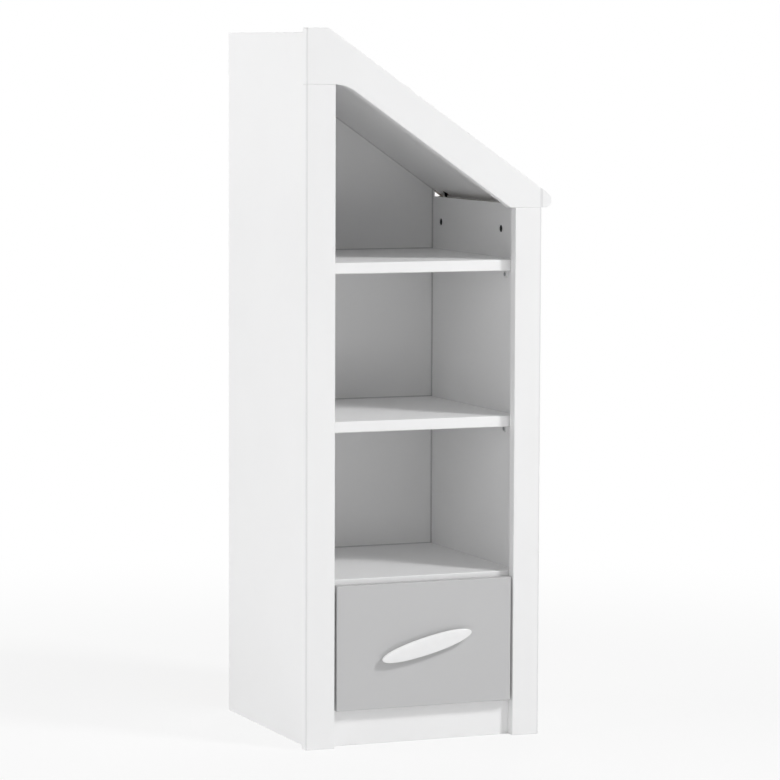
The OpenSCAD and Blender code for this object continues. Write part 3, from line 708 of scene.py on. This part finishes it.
for node, body in (("cabinet_rail_screws", "case"), ("drawer_rail_screws", "drawer")):
    seat_fasteners(node, body, zinc,
                   lambda length, width: wood_screw(length, width, head=0.001, shank=0.0016))

# ---- Rollers and their pins ----------------------------------------------------------------
# Four nylon rollers with a rim, a thin web and a hub turn on steel pins that are riveted to the
# rails, two at the cabinet's front and two at the drawer's back.


def moulded(name, tone, rough, sheen=0.0):
    """Moulded plastic: even colour with faint flow clouds and a fine spark-eroded skin."""
    material, shader, place = new_finish(name)
    clouds = place.noise(60, 2)
    sparks = place.noise(2600, 2)
    feed(shader, Base_Color=clouds.mixed(*shades(tone, 0.97, 1.02)),
         Roughness=rough + (sparks - 0.5) * 0.1, Normal=sparks.bump(0.00001))
    feed(shader, Coat_Weight=sheen, Coat_Roughness=0.08)
    return material


nylon = moulded("roller_nylon", (0.72, 0.71, 0.68), rough=0.4)

for node, body in (("front_roller_left", "front_left_roller"),
                   ("front_roller_right", "front_right_roller"),
                   ("rear_roller_left", "rear_left_roller"),
                   ("rear_roller_right", "rear_right_roller")):
    low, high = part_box(node)
    rim, width, bore = (high.z - low.z) / 2, high.x - low.x, 0.0031
    hub, well, draft, web, edge = 0.0052, 0.0098, 0.0004, 0.0012, 0.0006
    roller = turned("roller", [
        (hub, 0), (hub + draft, web), (well - draft, web), (well, 0), (rim - edge, 0),
        (rim, edge), (rim, width - edge), (rim - edge, width), (well, width),
        (well - draft, width - web), (hub + draft, width - web), (hub, width)], sides=48)
    bpy.ops.mesh.primitive_cylinder_add(vertices=32, radius=bore, depth=4 * width)
    shaped_by(roller, bpy.context.object)
    middle = (low + high) / 2
    roller.data.transform(Matrix.Translation((low.x, middle.y, middle.z))
                          @ Matrix.Rotation(math.pi / 2, 4, "Y"))
    stands_for(roller, node, body, nylon)


def rivet_pin(length, width):
    """A pin with a flat head and a small chamfer at its end."""
    rim, pin, head, chamfer = width / 2, 0.0029, 0.0006, 0.0003
    return turned("pin", [(pin - chamfer, -length), (pin, chamfer - length), (pin, -head),
                          (rim - 0.0001, -head), (rim, -0.0004), (rim - 0.0003, -0.00015),
                          (rim - 0.0012, 0)])


seat_fasteners("cabinet_roller_pins", "case", zinc, rivet_pin)
seat_fasteners("drawer_roller_pins", "drawer", zinc, rivet_pin)

# ---- Drawer ------------------------------------------------------------------------------
# The drawer's box is of 12 mm white board, screwed at the back, with a thin bottom in
# grooves. Its front is a board lacquered grey, which dowels and cams hold to the sides.

grey_paint = lacquer("grey_paint", (0.57, 0.57, 0.574), rough=0.45)
front = board_copy("drawer_front", "drawer", grey_paint)
round_edges(front, 0.0016, box_edges(front))

for node in ("drawer_left_side", "drawer_right_side", "drawer_back", "drawer_bottom"):
    board = board_copy(node, "drawer", white_melamine)
    round_edges(board, 0.0006, box_edges(board), segments=2)

seat_fasteners("drawer_back_screws", "drawer", zinc, wood_screw)

# ---- Handle ------------------------------------------------------------------------------
# A long oval moulded in white plastic, gently crowned, with a rounded rim. It stands on two
# posts and is held by two screws from inside the drawer.

handle_plastic = moulded("handle_plastic", (0.93, 0.93, 0.932), rough=0.25, sheen=0.3)
handle_l, handle_w, handle_t, handle_tilt = 0.195, 0.0354, 0.0065, math.radians(14)
post_spacing, post_r = 0.096, 0.006
fullness = 2.14  # an ellipse has 2, and a larger number gives fuller ends
low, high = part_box("handle")
middle = (low + high) / 2

# From the plate's back to its face: how far in from the outline, and how far forward
rings = [(0.0012, 0), (0.0004, 0.0003), (0, 0.0011), (0, 0.0036), (0.0003, 0.0047),
         (0.0009, 0.0054), (0.0018, 0.0059), (0.0032, 0.0061), (0.0064, 0.0063),
         (0.0112, 0.00645), (0.0156, handle_t)]
bpy.ops.object.select_all(action="DESELECT")
bpy.ops.mesh.primitive_circle_add(vertices=144, radius=1, fill_type="NGON",
                                  rotation=(math.pi / 2, 0, 0))
handle = bpy.context.object
bpy.ops.object.transform_apply(rotation=True)
for vert in handle.data.vertices:
    x, z = vert.co.x, vert.co.z
    vert.co = [math.copysign(abs(t) ** (2 / fullness), t) for t in (x, 0, z)]
bpy.ops.object.mode_set(mode="EDIT")
bpy.ops.mesh.select_all(action="SELECT")
reach, depth = Vector((1, 1)), 0
for ring, (inset, forward) in enumerate(rings):
    if ring:
        bpy.ops.mesh.extrude_region_move(TRANSFORM_OT_translate={"value": (0, depth - forward, 0)})
    oval = Vector((handle_l / 2 - inset, handle_w / 2 - inset))
    bpy.ops.transform.resize(value=(oval.x / reach.x, 1, oval.y / reach.y),
                             center_override=(0, -forward, 0))
    reach, depth = oval, forward
bpy.ops.mesh.select_all(action="SELECT")
bpy.ops.mesh.normals_make_consistent(inside=False)
bpy.ops.object.mode_set(mode="OBJECT")

plate_back = high.y - low.y - handle_t
for side in (-1, 1):  # each post has a low ring at its foot and widens under the plate
    post = turned("post", [
        (post_r - 0.0001, 0), (post_r + 0.0002, 0.0003), (post_r + 0.0002, 0.0009),
        (post_r, 0.0012), (post_r, plate_back - 0.0022), (post_r + 0.0003, plate_back - 0.001),
        (post_r + 0.0012, plate_back), (post_r + 0.0012, plate_back + 0.001)], sides=32)
    post.data.transform(Matrix.Translation((side * post_spacing / 2, plate_back, 0))
                        @ Matrix.Rotation(math.pi / 2, 4, "X"))
    shaped_by(handle, post, "UNION")
handle.data.transform(Matrix.Translation((middle.x, high.y - plate_back, middle.z))
                      @ Matrix.Rotation(-handle_tilt, 4, "Y"))
only(handle)
bpy.ops.object.shade_smooth_by_angle(angle=math.radians(40))
stands_for(handle, "handle", "drawer", handle_plastic)
seat_fasteners("handle_screws", "drawer", zinc, wood_screw)

# ---- Studio ------------------------------------------------------------------------------
# A pale floor that shows the object's shadow, white all round behind it, soft lamps, of which
# the key on the right is the strongest, and a camera at the photograph's place.

bpy.ops.mesh.primitive_plane_add(size=60, location=(0, 0, 0))
floor = bpy.context.object
floor.name = "studio_floor"
floor_white, floor_shader, floor_place = new_finish("floor_white")
feed(floor_shader, Base_Color=(0.86, 0.86, 0.86, 1), Roughness=0.9)

# The camera sees the floor as four fifths plain white near the object, and all white far off
near_white, near_r, far_r = 0.8, 0.8, 2.6
tree = floor_white.node_tree
rays = Signal(tree.nodes.new("ShaderNodeLightPath").outputs["Is Camera Ray"])
glow = rays.node("Emission", None, {"Color": (1, 1, 1, 1), "Strength": 1.0})
spread = floor_place.vector_math("LENGTH")
distance = spread.node("MapRange", {"interpolation_type": "SMOOTHSTEP"},
                       {"Value": spread, "From Min": near_r, "From Max": far_r})
mix = rays.node("MixShader", None, {0: rays * (near_white + distance * (1 - near_white)),
                                    1: Signal(floor_shader.outputs[0]), 2: glow})
tree.links.new(mix.socket, tree.nodes["Material Output"].inputs["Surface"])
floor.data.materials.append(floor_white)

world = bpy.data.worlds.new("studio_air")
bpy.context.scene.world = world
world.use_nodes = True
tree = world.node_tree
paths = tree.nodes.new("ShaderNodeLightPath").outputs
seen = Signal(paths["Is Camera Ray"]).math("MAXIMUM", Signal(paths["Is Glossy Ray"]))
seen = seen.math("MAXIMUM", Signal(paths["Is Transmission Ray"]))
ambient = 0.25  # what the air gives to the rays that light the pieces
tree.nodes["Background"].inputs["Color"].default_value = (1, 1, 1, 1)
tree.links.new((seen * (1 - ambient) + ambient).socket,
               tree.nodes["Background"].inputs["Strength"])


def softbox(name, place, aim, width, height, power):
    """A rectangular lamp at a place, turned to the point that it lights."""
    lamp = bpy.data.lights.new(name, "AREA")
    lamp.shape = "RECTANGLE"
    lamp.size, lamp.size_y, lamp.energy = width, height, power
    holder = bpy.data.objects.new(name, lamp)
    bpy.context.scene.collection.objects.link(holder)
    holder.location = place
    holder.rotation_euler = (Vector(aim) - Vector(place)).to_track_quat("-Z", "Y").to_euler()


halfway_up = (0, 0, 0.7)
softbox("key_lamp", (3.15, -4.2, 4.7), halfway_up, 1.2, 1.2, power=202)
softbox("left_lamp", (-4.2, 0.6, 1.7), halfway_up, 3.5, 3.0, power=93)
softbox("front_lamp", (-3.6, -4.5, 2.4), halfway_up, 2.5, 2.5, power=24)
softbox("low_lamp", (0, -2.4, 0.1), (0, 0, 1.0), 2.0, 1.0, power=9)
softbox("back_lamp", (2.6, 5.0, 2.6), halfway_up, 2.5, 2.5, power=75)

# The camera's place, turn and focal length were worked out from the photo's board edges
camera_place = (-2.814986, -6.827259, 1.354775)
yaw, pitch, roll = 22.482, 5.248, -0.211
focal_px, photo_px, sensor_mm = 3685.117, 780, 36
camera = bpy.data.objects.new("camera", bpy.data.cameras.new("camera"))
bpy.context.scene.collection.objects.link(camera)
camera.data.lens = focal_px / photo_px * sensor_mm
camera.data.clip_end = 100
camera.matrix_world = (
    Matrix.Translation(camera_place)
    @ Matrix.Rotation(math.radians(-yaw), 4, "Z")
    @ Matrix.Rotation(math.radians(90 - pitch), 4, "X")
    @ Matrix.Rotation(math.radians(-roll), 4, "Z"))
bpy.context.scene.camera = camera

bpy.context.scene.view_settings.view_transform = "Standard"
